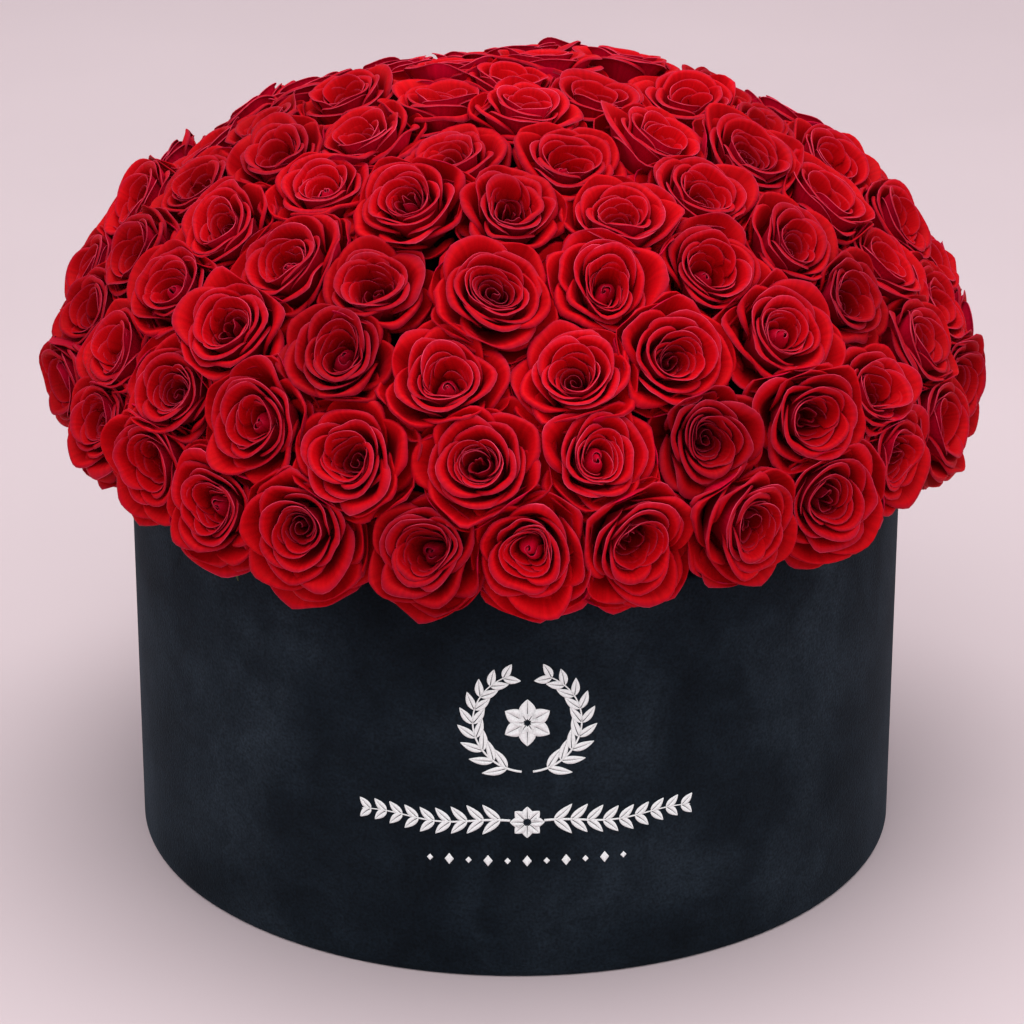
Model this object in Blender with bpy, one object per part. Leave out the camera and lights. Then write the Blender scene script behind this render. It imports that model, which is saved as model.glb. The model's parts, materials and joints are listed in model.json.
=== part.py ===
"""Round velvet flower box holding a dome of 120 cut roses in wet foam.

Metres, +Z up. The origin is the centre of the box's underside, and the front of the box faces -Y.
The box is a greyboard tube with a velvet wrap. A lift-out insert stands in it: a waterproof liner tub,
dry filler bricks, a crown of wet foam and the roses, whose stems are pushed into holes in the crown.
"""

import math
import random

import bmesh
import bpy
from mathutils import Matrix, Vector

GAP = 0.0003  # between pieces that touch

# Box
BOX_RADIUS = 0.200
BOX_HEIGHT = 0.210
VELVET = 0.0012
WALL = 0.0030
LINING = 0.0008
BASE_COVER = 0.0025
BASE_BOARD = 0.0030
VELVET_LIFT = 0.0006  # the velvet's lower edge stops this far above the floor
TURN_IN = 0.025  # velvet folded over the rim and down the inside
LINING_OVERLAP_GAP = 0.001

# Lift-out insert
LINER_CLEARANCE = 0.0012
LINER = 0.0010
LINER_TOP = 0.200
BRICK_HEIGHT = 0.141
BRICK_WIDTH = 0.125
CROWN_SIDE_TOP = 0.222  # where the foam crown's straight side ends
CROWN_RISE = 0.126
CROWN_RINGS = 4

# Dome of roses: rose centres lie on half an ellipsoid
DOME_RADIUS = 0.239
DOME_RISE = 0.184
DOME_EQUATOR = 0.215
RIM_ROW_HEIGHT = 0.245
RIM_LIFT = 0.014  # the rim row stands this much higher at the sides than at front and back
RINGS = (  # roses in each ring outward from the crown, and the first one's angle from the front
    (5, 14.0),
    (9, 20.0),
    (15, -1.3),
    (18, -4.0),
    (21, 7.0),
    (24, -5.5),
    (27, 1.3),
)
SINGLE_RINGS = 2  # in the rings beyond these, three neighbours make one bunch
BUNCH = 3
SHIFT = 0.0010  # most that a rose stands off its place
LEAN = math.radians(1.5)  # most that a rose leans off the dome's normal
SEED = 12

# One rose, along its own axis, with 0 at the widest part of the bloom
ROSE_SIDES = 8
ROSE_PROFILE = (  # height, radius
    (-0.095, 0.0030),
    (-0.040, 0.0034),
    (-0.004, 0.0312),
    (0.008, 0.0200),
)
STEM_HOLE_SIDES = 6
STEM_HOLE_RADIUS = 0.0044
STEM_HOLE_EXTRA = 0.0020

ROUND_STEPS = 64
FLAT_ANGLE = math.radians(35)


def clear_scene():
    for thing in list(bpy.data.objects):
        bpy.data.objects.remove(thing)


def material(name, colour, roughness):
    made = bpy.data.materials.new(name)
    made.use_nodes = True
    shader = made.node_tree.nodes["Principled BSDF"]
    shader.inputs["Base Color"].default_value = (*colour, 1)
    shader.inputs["Roughness"].default_value = roughness
    shader.inputs["Metallic"].default_value = 0
    return made


def add_object(name, mesh, finish, parent=None):
    mesh.shade_smooth()
    mesh.set_sharp_from_angle(angle=FLAT_ANGLE)
    mesh.materials.append(finish)
    made = bpy.data.objects.new(name, mesh)
    bpy.context.scene.collection.objects.link(made)
    made.parent = parent
    return made


def add_empty(name, location, axis=None, parent=None):
    made = bpy.data.objects.new(name, None)
    bpy.context.scene.collection.objects.link(made)
    made.parent = parent
    made.location = location
    if axis is not None:
        made.rotation_mode = "QUATERNION"
        made.rotation_quaternion = axis.to_track_quat("Z", "Y")
    return made


def helper(thing):
    thing.hide_render = True
    thing.display_type = "WIRE"


def loft(name, loops):
    """Closed body through loops of equal length, each listed anticlockwise from above, bottom first."""
    mesh = bpy.data.meshes.new(name)
    shape = bmesh.new()
    rings = [[shape.verts.new(point) for point in loop] for loop in loops]
    for lower, upper in zip(rings, rings[1:]):
        for i, corner in enumerate(lower):
            after = (i + 1) % len(lower)
            shape.faces.new((corner, lower[after], upper[after], upper[i]))
    shape.faces.new(reversed(rings[0]))
    shape.faces.new(rings[-1])
    shape.to_mesh(mesh)
    shape.free()
    return mesh


def circle(radius, height, sides=ROUND_STEPS):
    turns = (math.tau * i / sides for i in range(sides))
    return [Vector((radius * math.cos(turn), radius * math.sin(turn), height)) for turn in turns]


def disc(name, radius, bottom, top):
    return loft(name, [circle(radius, bottom), circle(radius, top)])


def turned(name, profile):
    """A closed profile of (radius, height) corners, anticlockwise, turned about Z."""
    mesh = bpy.data.meshes.new(name)
    shape = bmesh.new()
    columns = []
    for i in range(ROUND_STEPS):
        turn = math.tau * i / ROUND_STEPS
        place = (math.cos(turn), math.sin(turn))
        columns.append([shape.verts.new((place[0] * r, place[1] * r, z)) for r, z in profile])
    for i, column in enumerate(columns):
        beside = columns[(i + 1) % ROUND_STEPS]
        for j in range(len(profile)):
            after = (j + 1) % len(profile)
            shape.faces.new((column[j], beside[j], beside[after], column[after]))
    shape.to_mesh(mesh)
    shape.free()
    return mesh


# The box, from the outside in

WALL_OUTER = BOX_RADIUS - VELVET - GAP
WALL_INNER = WALL_OUTER - WALL
WALL_TOP = BOX_HEIGHT - VELVET - GAP
WALL_BOTTOM = BASE_COVER + GAP
TURN_IN_INNER = WALL_INNER - GAP - VELVET
LINING_BOTTOM = WALL_BOTTOM + BASE_BOARD + GAP


def build_box(root):
    velvet = material("velvet", (0.012, 0.018, 0.026), 0.95)
    greyboard = material("greyboard", (0.36, 0.33, 0.29), 0.9)
    paper = material("lining_paper", (0.03, 0.03, 0.032), 0.7)
    turn_in_bottom = BOX_HEIGHT - TURN_IN
    lining_top = turn_in_bottom - LINING_OVERLAP_GAP
    add_object(
        "velvet_wrap",
        turned(
            "velvet_wrap",
            (
                (BOX_RADIUS, VELVET_LIFT),
                (BOX_RADIUS, BOX_HEIGHT - VELVET),
                (BOX_RADIUS - VELVET, BOX_HEIGHT),
                (TURN_IN_INNER + VELVET, BOX_HEIGHT),
                (TURN_IN_INNER, BOX_HEIGHT - VELVET),
                (TURN_IN_INNER, turn_in_bottom),
                (TURN_IN_INNER + VELVET, turn_in_bottom),
                (TURN_IN_INNER + VELVET, BOX_HEIGHT - VELVET),
                (BOX_RADIUS - VELVET, BOX_HEIGHT - VELVET),
                (BOX_RADIUS - VELVET, VELVET_LIFT),
            ),
        ),
        velvet,
        root,
    )
    add_object(
        "box_wall",
        turned(
            "box_wall",
            (
                (WALL_OUTER, WALL_BOTTOM),
                (WALL_OUTER, WALL_TOP),
                (WALL_INNER, WALL_TOP),
                (WALL_INNER, WALL_BOTTOM),
            ),
        ),
        greyboard,
        root,
    )
    add_object("base_cover", disc("base_cover", WALL_OUTER, 0, BASE_COVER), velvet, root)
    board = disc("base_board", WALL_INNER - GAP, WALL_BOTTOM, WALL_BOTTOM + BASE_BOARD)
    add_object("base_board", board, greyboard, root)
    lining = (
        (WALL_INNER - GAP, LINING_BOTTOM),
        (WALL_INNER - GAP, lining_top),
        (WALL_INNER - GAP - LINING, lining_top),
        (WALL_INNER - GAP - LINING, LINING_BOTTOM),
    )
    add_object("inner_lining", turned("inner_lining", lining), paper, root)


# Liner and foam

LINER_OUTER = TURN_IN_INNER - LINER_CLEARANCE
LINER_INNER = LINER_OUTER - LINER
LINER_BOTTOM = LINING_BOTTOM + GAP
FOAM_RADIUS = LINER_INNER - GAP
FILLER_BOTTOM = LINER_BOTTOM + LINER + GAP
BRICK_TOP = FILLER_BOTTOM + BRICK_HEIGHT


def liner_mesh():
    """An open tub: its wall turned inside and out, its floor one disc."""
    outer = [circle(LINER_OUTER, LINER_BOTTOM), circle(LINER_OUTER, LINER_TOP)]
    inner = [circle(LINER_INNER, LINER_TOP), circle(LINER_INNER, LINER_BOTTOM + LINER)]
    return loft("liner_tub", outer + inner)


def brick_mesh(name, left, right):
    """The slice of the round filler layer between two lines across it."""
    mesh = disc(name, FOAM_RADIUS, FILLER_BOTTOM, BRICK_TOP)
    shape = bmesh.new()
    shape.from_mesh(mesh)
    for side, facing in ((left, -1), (right, 1)):
        if abs(side) < FOAM_RADIUS:
            cut_away(shape, Vector((side, 0, 0)), Vector((facing, 0, 0)))
    shape.to_mesh(mesh)
    shape.free()
    return mesh


def cut_away(shape, point, normal):
    """Removes what lies beyond the plane, and closes the cut."""
    everything = shape.verts[:] + shape.edges[:] + shape.faces[:]
    cut = bmesh.ops.bisect_plane(
        shape, geom=everything, plane_co=point, plane_no=normal, clear_outer=True, dist=1e-7
    )
    rim = [piece for piece in cut["geom_cut"] if isinstance(piece, bmesh.types.BMEdge)]
    if rim:
        bmesh.ops.contextual_create(shape, geom=rim)


def crown_mesh():
    loops = [circle(FOAM_RADIUS, BRICK_TOP + GAP)]
    for i in range(CROWN_RINGS):
        rise = math.pi / 2 * i / CROWN_RINGS
        height = CROWN_SIDE_TOP + CROWN_RISE * math.sin(rise)
        loops.append(circle(FOAM_RADIUS * math.cos(rise), height))
    return loft("foam_crown", loops)


def build_liner_and_foam(insert, places):
    film = material("liner_film", (0.02, 0.02, 0.022), 0.35)
    foam = material("wet_foam", (0.05, 0.16, 0.08), 0.9)
    filler = material("dry_filler", (0.55, 0.55, 0.52), 0.9)
    add_object("liner_tub", liner_mesh(), film, insert)
    edges = (-FOAM_RADIUS, -BRICK_WIDTH / 2, BRICK_WIDTH / 2, FOAM_RADIUS)
    for i, (left, right) in enumerate(zip(edges, edges[1:])):
        name = f"filler_brick_{i + 1}"
        add_object(name, brick_mesh(name, left + GAP, right - GAP), filler, insert)
    crown = add_object("foam_crown", crown_mesh(), foam, insert)
    holes = stem_holes(places)
    drill = crown.modifiers.new("stem_holes", "BOOLEAN")
    drill.operation = "DIFFERENCE"
    drill.object = holes


def stem_holes(places):
    """One cutter with a blind prism for every stem, from past the foam's surface to past the stem's end."""
    mesh = bpy.data.meshes.new("stem_holes")
    shape = bmesh.new()
    bottom = ROSE_PROFILE[0][0] - STEM_HOLE_EXTRA
    top = ROSE_PROFILE[1][0]
    for place in places:
        into = place_matrix(place) @ Matrix.Translation((0, 0, (bottom + top) / 2))
        bmesh.ops.create_cone(
            shape,
            cap_ends=True,
            segments=STEM_HOLE_SIDES,
            radius1=STEM_HOLE_RADIUS,
            radius2=STEM_HOLE_RADIUS,
            depth=top - bottom,
            matrix=into,
        )
    shape.to_mesh(mesh)
    shape.free()
    cutter = bpy.data.objects.new("stem_hole_cutter", mesh)
    bpy.context.scene.collection.objects.link(cutter)
    helper(cutter)
    return cutter


# Roses


def dome_arc():
    """Points of the dome's outline from the crown to the rim row: (distance along it, angle)."""
    steps = 400
    last = math.asin((RIM_ROW_HEIGHT - DOME_EQUATOR) / DOME_RISE)
    arc = [(0.0, math.pi / 2)]
    for i in range(1, steps + 1):
        angle = math.pi / 2 + (last - math.pi / 2) * i / steps
        middle = (angle + arc[-1][1]) / 2
        turn = arc[-1][1] - angle
        step = math.hypot(DOME_RADIUS * math.sin(middle), DOME_RISE * math.cos(middle)) * turn
        arc.append((arc[-1][0] + step, angle))
    return arc


def angle_at(arc, distance):
    for (near, start), (far, end) in zip(arc, arc[1:]):
        if distance <= far:
            return start + (end - start) * (distance - near) / (far - near)
    return arc[-1][1]


def rose_places():
    """Every rose as (ring, number in its ring, centre, axis, direction along the ring)."""
    arc = dome_arc()
    draw = random.Random(SEED)
    rings = ((1, 0.0), *RINGS)
    places = []
    for ring, (count, first) in enumerate(rings):
        share = ring / len(RINGS)
        angle = angle_at(arc, arc[-1][0] * share)
        for number in range(count):
            shift = [draw.uniform(-SHIFT, SHIFT) for _ in range(3)]
            lean = [draw.uniform(-LEAN, LEAN) for _ in range(2)]
            bearing = math.radians(first) + math.tau * number / count
            outward = Vector((math.sin(bearing), -math.cos(bearing), 0))
            along = Vector((math.cos(bearing), math.sin(bearing), 0))
            normal = outward * (math.cos(angle) / DOME_RADIUS)
            normal.z = math.sin(angle) / DOME_RISE
            normal.normalize()
            downhill = along.cross(normal)
            centre = outward * (DOME_RADIUS * math.cos(angle))
            centre.z = DOME_EQUATOR + DOME_RISE * math.sin(angle)
            centre.z += RIM_LIFT * share**2 * math.sin(bearing) ** 2
            centre += along * shift[0] + downhill * shift[1] + normal * shift[2]
            axis = (normal + along * lean[0] + downhill * lean[1]).normalized()
            along = (along - axis * along.dot(axis)).normalized()
            places.append((ring, number, centre, axis, along))
    return places


def place_matrix(place):
    _, _, centre, axis, along = place
    turned_axes = Matrix((along, axis.cross(along), axis)).transposed().to_4x4()
    return Matrix.Translation(centre) @ turned_axes


def bunch_of(place):
    """Name of the node that a rose belongs to."""
    ring, number = place[:2]
    if ring == 0:
        return "rose_crown"
    if ring <= SINGLE_RINGS:
        return f"rose_ring{ring}_{number + 1}"
    return f"roses_ring{ring}_{number // BUNCH + 1}"


def rose_mesh(name, place, places):
    """A bloom and its stem, cut back where it would press into a rose of another node."""
    sides = ROSE_SIDES
    mesh = loft(name, [circle(radius, height, sides) for height, radius in ROSE_PROFILE])
    mesh.transform(place_matrix(place))
    shape = bmesh.new()
    shape.from_mesh(mesh)
    reach = 2 * max(radius for _, radius in ROSE_PROFILE)
    for other in places:
        between = other[2] - place[2]
        if bunch_of(other) == bunch_of(place) or between.length > reach:
            continue
        shared = (place[3] + other[3]).normalized()
        facing = (between - shared * between.dot(shared)).normalized()
        middle = (place[2] + other[2]) / 2 - facing * GAP
        cut_away(shape, middle, facing)
    bmesh.ops.recalc_face_normals(shape, faces=shape.faces[:])
    shape.to_mesh(mesh)
    shape.free()
    return mesh


def build_roses(insert, places):
    petals = material("rose_petals", (0.5, 0.003, 0.01), 0.6)
    nodes = {}
    for place in places:
        nodes.setdefault(bunch_of(place), []).append(place)
    for name, members in nodes.items():
        start = add_empty(f"{name}_axis", members[0][2], members[0][3], insert)
        bpy.context.view_layer.update()
        to_local = start.matrix_world.inverted()
        made = []
        for i, place in enumerate(members):
            mesh = rose_mesh(f"{name}_{i}", place, places)
            mesh.transform(to_local)
            made.append(add_object(name if i == 0 else f"{name}_joined_{i}", mesh, petals, start))
        for i, joined in enumerate(made[1:]):
            helper(joined)
            union = made[0].modifiers.new(f"join_{i + 1}", "BOOLEAN")
            union.operation = "UNION"
            union.object = joined


def main():
    clear_scene()
    root = add_empty("flower_box", (0, 0, 0))
    insert = add_empty("lift_out_insert", (0, 0, LINER_BOTTOM), parent=root)
    places = rose_places()
    build_box(root)
    insert_children = add_empty("insert_origin", (0, 0, -LINER_BOTTOM), parent=insert)
    build_liner_and_foam(insert_children, places)
    build_roses(insert_children, places)


main()
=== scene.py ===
import json
import math
import random

import bpy
import numpy as np
from mathutils import Matrix, Vector

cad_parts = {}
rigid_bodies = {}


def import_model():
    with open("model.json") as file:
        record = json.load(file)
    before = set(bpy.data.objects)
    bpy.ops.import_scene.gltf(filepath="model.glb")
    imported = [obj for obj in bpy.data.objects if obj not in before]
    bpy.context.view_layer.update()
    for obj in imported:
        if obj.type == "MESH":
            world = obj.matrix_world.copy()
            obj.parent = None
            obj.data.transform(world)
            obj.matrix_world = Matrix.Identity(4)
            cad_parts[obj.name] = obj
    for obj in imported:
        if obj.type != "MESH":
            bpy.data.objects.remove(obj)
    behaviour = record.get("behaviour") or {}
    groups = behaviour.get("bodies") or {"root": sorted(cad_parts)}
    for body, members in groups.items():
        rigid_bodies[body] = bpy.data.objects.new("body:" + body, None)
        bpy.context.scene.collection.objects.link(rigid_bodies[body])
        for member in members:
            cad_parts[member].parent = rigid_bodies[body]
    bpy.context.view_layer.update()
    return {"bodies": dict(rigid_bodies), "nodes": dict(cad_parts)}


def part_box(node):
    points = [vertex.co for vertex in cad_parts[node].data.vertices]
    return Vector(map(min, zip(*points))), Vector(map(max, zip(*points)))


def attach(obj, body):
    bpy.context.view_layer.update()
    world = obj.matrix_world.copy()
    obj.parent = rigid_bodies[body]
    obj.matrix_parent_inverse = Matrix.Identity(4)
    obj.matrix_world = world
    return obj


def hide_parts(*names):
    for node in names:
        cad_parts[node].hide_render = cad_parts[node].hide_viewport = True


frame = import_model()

# The box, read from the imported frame
wrap_low, wrap_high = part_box("velvet_wrap")
BOX_RADIUS = wrap_high.x
BOX_HEIGHT = wrap_high.z
WRAP_BOTTOM = wrap_low.z

# The dome of roses, by the same rule as the frame's solids. Lengths are in metres
DOME_RADIUS = 0.239
DOME_RISE = 0.184
DOME_EQUATOR = 0.215
RIM_ROW_HEIGHT = 0.245
RIM_LIFT = 0.014  # how much higher the rim row is at the sides than in front and behind
RINGS = (  # roses in the ring, bearing of the first in degrees
    (5, 14.0),
    (9, 20.0),
    (15, -1.3),
    (18, -4.0),
    (21, 7.0),
    (24, -5.5),
    (27, 1.3),
)
SINGLE_RINGS = 2  # rings whose roses are nodes of their own
BUNCH = 3  # roses to a node in the other rings
SHIFT = 0.0010
LEAN = math.radians(1.5)
PLACE_SEED = 12
ROSE_SEED = 1000
ARC_STEPS = 400
STEM_END = -0.095


# Colours, lights and camera


def set_colour_management():
    bpy.context.scene.view_settings.view_transform = "Standard"
    bpy.context.scene.view_settings.look = "None"


CAMERA_LENS = 144.69
CAMERA_PLACE = (-0.00194, -1.9903, 1.0148)
CAMERA_DOWN = 23.096
WORLD_COLOUR = (0.95, 0.96, 1.0, 1)
WORLD_STRENGTH = 1.16


def add_camera():
    data = bpy.data.cameras.new("photo_view")
    data.lens = CAMERA_LENS
    data.sensor_width = 36
    camera = bpy.data.objects.new("photo_view", data)
    bpy.context.scene.collection.objects.link(camera)
    camera.location = CAMERA_PLACE
    camera.rotation_euler = (math.radians(90 - CAMERA_DOWN), 0, 0)
    bpy.context.scene.camera = camera


def add_area_light(name, location, target, size, power):
    data = bpy.data.lights.new(name, "AREA")
    data.shape = "DISK"
    data.size = size
    data.energy = power
    light = bpy.data.objects.new(name, data)
    bpy.context.scene.collection.objects.link(light)
    light.location = location
    direction = Vector(target) - Vector(location)
    light.rotation_euler = direction.to_track_quat("-Z", "Y").to_euler()


def add_lights():
    middle = (0, 0, 0.25)
    add_area_light("key", (-0.6, -1.7, 2.8), middle, 1.6, 21)
    add_area_light("fill", (1.7, -1.8, 1.5), middle, 1.6, 7.5)
    add_area_light("top", (0.1, 0.2, 2.7), middle, 1.8, 38)
    world = bpy.data.worlds.new("studio")
    world.use_nodes = True
    background = world.node_tree.nodes["Background"]
    background.inputs["Color"].default_value = WORLD_COLOUR
    background.inputs["Strength"].default_value = WORLD_STRENGTH
    bpy.context.scene.world = world


def add_stage():
    """A floor that curves up into a backdrop behind the box."""
    half_width, front, back, bend, top, steps = 12.0, -12.0, 2.2, 0.9, 3.0, 12
    profile = [(front, 0.0)]
    for i in range(steps + 1):
        turn = math.pi / 2 * i / steps
        profile.append((back + bend * math.sin(turn), bend * (1 - math.cos(turn))))
    profile.append((back + bend, top))
    points = [(x, y, z) for y, z in profile for x in (-half_width, half_width)]
    faces = [(2 * i, 2 * i + 1, 2 * i + 3, 2 * i + 2) for i in range(len(profile) - 1)]
    mesh = bpy.data.meshes.new("floor")
    mesh.from_pydata(points, [], faces)
    mesh.shade_smooth()
    floor = bpy.data.objects.new("floor", mesh)
    bpy.context.scene.collection.objects.link(floor)
    mesh.materials.append(stage_material())


# Materials


class Shader:
    """A Principled material and short ways to add nodes to it."""

    def __init__(self, name, roughness, specular=0.5):
        self.material = bpy.data.materials.new(name)
        self.material.use_nodes = True
        self.nodes = self.material.node_tree.nodes
        self.links = self.material.node_tree.links
        self.surface = self.nodes["Principled BSDF"]
        self.set("Roughness", roughness)
        self.set("Specular IOR Level", specular)

    def set(self, socket, value):
        self.surface.inputs[socket].default_value = value

    def sheen(self, weight, roughness, tint):
        self.set("Sheen Weight", weight)
        self.set("Sheen Roughness", roughness)
        self.set("Sheen Tint", (*tint, 1))

    def place(self):
        """Where a point is on the object, in metres."""
        return self.nodes.new("ShaderNodeTexCoord").outputs["Object"]

    def noise(self, scale, detail=2.0, stretch=(1, 1, 1), distortion=0.0):
        mapping = self.nodes.new("ShaderNodeMapping")
        mapping.inputs["Scale"].default_value = stretch
        self.links.new(self.place(), mapping.inputs["Vector"])
        made = self.nodes.new("ShaderNodeTexNoise")
        made.inputs["Scale"].default_value = scale
        made.inputs["Detail"].default_value = detail
        made.inputs["Distortion"].default_value = distortion
        self.links.new(mapping.outputs["Vector"], made.inputs["Vector"])
        return made.outputs["Fac"]

    def ramp(self, factor, stops):
        made = self.nodes.new("ShaderNodeValToRGB")
        elements = made.color_ramp.elements
        while len(elements) < len(stops):
            elements.new(0.5)
        for element, (position, colour) in zip(elements, stops):
            element.position = position
            element.color = (*colour, 1)
        self.links.new(factor, made.inputs["Fac"])
        return made.outputs["Color"]

    def mix(self, blend, factor, first, second):
        made = self.nodes.new("ShaderNodeMix")
        made.data_type = "RGBA"
        made.blend_type = blend
        self.feed(made.inputs[0], factor)
        self.feed(made.inputs[6], first)
        self.feed(made.inputs[7], second)
        return made.outputs[2]

    def maths(self, operation, first, second=0.5):
        made = self.nodes.new("ShaderNodeMath")
        made.operation = operation
        self.feed(made.inputs[0], first)
        self.feed(made.inputs[1], second)
        return made.outputs[0]

    def feed(self, socket, value):
        if isinstance(value, bpy.types.NodeSocket):
            self.links.new(value, socket)
        elif isinstance(value, tuple):
            socket.default_value = (*value, 1)
        else:
            socket.default_value = value

    def attribute(self, name):
        """The four channels of a colour attribute."""
        made = self.nodes.new("ShaderNodeAttribute")
        made.attribute_name = name
        parts = self.nodes.new("ShaderNodeSeparateColor")
        self.links.new(made.outputs["Color"], parts.inputs["Color"])
        red, green, blue = (parts.outputs[channel] for channel in ("Red", "Green", "Blue"))
        return red, green, blue, made.outputs["Alpha"]

    def streaks(self, across):
        """Fine lines that run from a petal's root to its rim."""
        made = self.nodes.new("ShaderNodeTexNoise")
        made.noise_dimensions = "1D"
        made.inputs["Scale"].default_value = 26.0
        made.inputs["Detail"].default_value = 3.0
        self.links.new(across, made.inputs["W"])
        return made.outputs["Fac"]

    def colour(self, value):
        self.feed(self.surface.inputs["Base Color"], value)

    def bump(self, height, strength, distance):
        made = self.nodes.new("ShaderNodeBump")
        made.inputs["Strength"].default_value = strength
        made.inputs["Distance"].default_value = distance
        self.links.new(height, made.inputs["Height"])
        self.links.new(made.outputs["Normal"], self.surface.inputs["Normal"])


def stage_material():
    shade = Shader("floor_paint", 0.9, 0.2)
    cloud = shade.noise(2.0, 3.0)
    shade.colour(shade.ramp(cloud, ((0.3, (0.49, 0.405, 0.42)), (0.7, (0.52, 0.43, 0.445)))))
    return shade.material


def velvet_material():
    """Blue-black nap, brushed one way and another, so that it shows in soft patches."""
    shade = Shader("velvet_nap", 0.95, 0.10)
    patches = shade.noise(11.0, 7.0, distortion=0.6)
    wide = shade.ramp(
        patches,
        (
            (0.28, (0.0036, 0.0066, 0.0108)),
            (0.48, (0.0082, 0.0136, 0.0205)),
            (0.70, (0.0200, 0.0290, 0.0400)),
        ),
    )
    tufts = shade.noise(42.0, 6.0, distortion=0.8)
    tuft_tone = shade.ramp(tufts, ((0.32, (0.58, 0.60, 0.62)), (0.68, (1, 1, 1))))
    tufted = shade.mix("MULTIPLY", 1.0, wide, tuft_tone)
    pile = shade.noise(720.0, 3.0)
    pile_tone = shade.ramp(pile, ((0.30, (0.42, 0.42, 0.42)), (0.70, (1, 1, 1))))
    shade.colour(shade.mix("MULTIPLY", 1.0, tufted, pile_tone))
    shade.sheen(0.05, 0.35, (0.5, 0.65, 0.85))
    shade.bump(pile, 0.5, 0.0009)
    return shade.material


def petal_material():
    """Red, darker towards the root as painted shade deep in the cup, more crimson on the outer face,
    with a painted pale highlight along the rim.

    The attribute holds how far a point is from root to rim and across, the petal's tone with painted
    shade, and the face.
    """
    shade = Shader("petal_velvet", 0.55, 0.035)
    rim, across, tone_and_shade, face = shade.attribute("petal")
    # Painted shade: the inside darkens towards the root, deep in the cup; towards the lip it turns
    # darker and more crimson.
    inside = shade.ramp(
        rim,
        (
            (0.0, (0.45, 0.0015, 0.004)),
            (0.35, (0.61, 0.0015, 0.005)),
            (0.62, (0.66, 0.0015, 0.006)),
            (0.82, (0.56, 0.003, 0.015)),
            (1.0, (0.47, 0.010, 0.034)),
        ),
    )
    # Painted shade: the outer face also darkens towards the root.
    outside = shade.ramp(
        rim,
        (
            (0.0, (0.44, 0.001, 0.012)),
            (0.45, (0.62, 0.001, 0.024)),
            (0.85, (0.66, 0.003, 0.040)),
            (1.0, (0.56, 0.010, 0.055)),
        ),
    )
    both = shade.mix("MIX", face, inside, outside)
    # The tone channel holds each petal's own tone times painted shade for the heart and for the sides.
    brightness = shade.ramp(tone_and_shade, ((0.0, (0.34, 0.4, 0.5)), (0.45, (0.78, 0.8, 0.8)), (1.0, (1, 1, 1))))
    toned = shade.mix("MULTIPLY", 1.0, both, brightness)
    veins = shade.ramp(shade.streaks(across), ((0.3, (0.84, 0.84, 0.84)), (0.7, (1, 1, 1))))
    clouds = shade.ramp(shade.noise(55.0, 3.0), ((0.3, (0.84, 0.80, 0.82)), (0.7, (1, 1, 1))))
    marked = shade.mix("MULTIPLY", 1.0, shade.mix("MULTIPLY", 1.0, toned, veins), clouds)
    # Painted highlight: a thin pale line along the rim, broken up by noise and weaker on darker petals.
    rim_highlight = shade.ramp(rim, ((0.95, (0, 0, 0)), (0.985, (1, 1, 1))))
    patchy = shade.ramp(shade.noise(90.0, 2.0), ((0.40, (0.16, 0.16, 0.16)), (0.64, (0.85, 0.85, 0.85))))
    lit = shade.ramp(tone_and_shade, ((0.1, (0.35, 0.35, 0.35)), (0.6, (1, 1, 1))))
    strength = shade.maths("MULTIPLY", shade.maths("MULTIPLY", rim_highlight, patchy), lit)
    shade.colour(shade.mix("MIX", strength, marked, (0.80, 0.065, 0.13)))
    shade.sheen(0.14, 0.4, (1.0, 0.03, 0.07))
    shade.bump(shade.noise(1400.0, 2.0), 0.12, 0.0004)
    return shade.material


def green_material():
    shade = Shader("stem_green", 0.5, 0.4)
    shade.colour(
        shade.ramp(
            shade.noise(90.0, 3.0, stretch=(1, 1, 0.3)),
            ((0.3, (0.012, 0.024, 0.004)), (0.55, (0.035, 0.05, 0.009)), (0.75, (0.15, 0.14, 0.035))),
        )
    )
    shade.bump(shade.noise(700.0, 2.0), 0.2, 0.0004)
    return shade.material


def foam_material(name, dark, light):
    shade = Shader(name, 0.95, 0.1)
    cells = shade.noise(1100.0, 2.0)
    clouds = shade.noise(30.0, 3.0)
    base = shade.ramp(clouds, ((0.3, dark), (0.7, light)))
    cell_tone = shade.ramp(cells, ((0.35, (0.5, 0.5, 0.5)), (0.6, (1, 1, 1))))
    shade.colour(shade.mix("MULTIPLY", 0.6, base, cell_tone))
    shade.bump(cells, 0.6, 0.0008)
    return shade.material


def board_material():
    shade = Shader("greyboard_fibres", 0.9, 0.2)
    fibres = shade.noise(260.0, 5.0, stretch=(1, 1, 0.25), distortion=1.2)
    shade.colour(shade.ramp(fibres, ((0.3, (0.26, 0.235, 0.20)), (0.7, (0.42, 0.385, 0.34)))))
    shade.bump(fibres, 0.3, 0.0004)
    return shade.material


def paper_material():
    shade = Shader("lining_black_paper", 0.72, 0.35)
    fibres = shade.noise(420.0, 4.0, stretch=(1, 1, 0.5))
    shade.colour(shade.ramp(fibres, ((0.3, (0.018, 0.018, 0.02)), (0.7, (0.035, 0.035, 0.038)))))
    shade.bump(fibres, 0.2, 0.0003)
    return shade.material


def film_material():
    """Thin black film, softly crumpled."""
    shade = Shader("liner_black_film", 0.5, 0.16)
    folds = shade.noise(34.0, 4.0, distortion=0.4)
    shade.colour(shade.ramp(folds, ((0.3, (0.005, 0.005, 0.006)), (0.7, (0.010, 0.010, 0.0115)))))
    shade.bump(folds, 0.45, 0.004)
    return shade.material


def print_material():
    shade = Shader("white_print", 0.55, 0.4)
    grain = shade.noise(1500.0, 2.0)
    shade.colour(shade.ramp(grain, ((0.3, (0.70, 0.70, 0.69)), (0.7, (0.86, 0.86, 0.85)))))
    shade.bump(grain, 0.15, 0.0003)
    return shade.material


# Meshes


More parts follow.
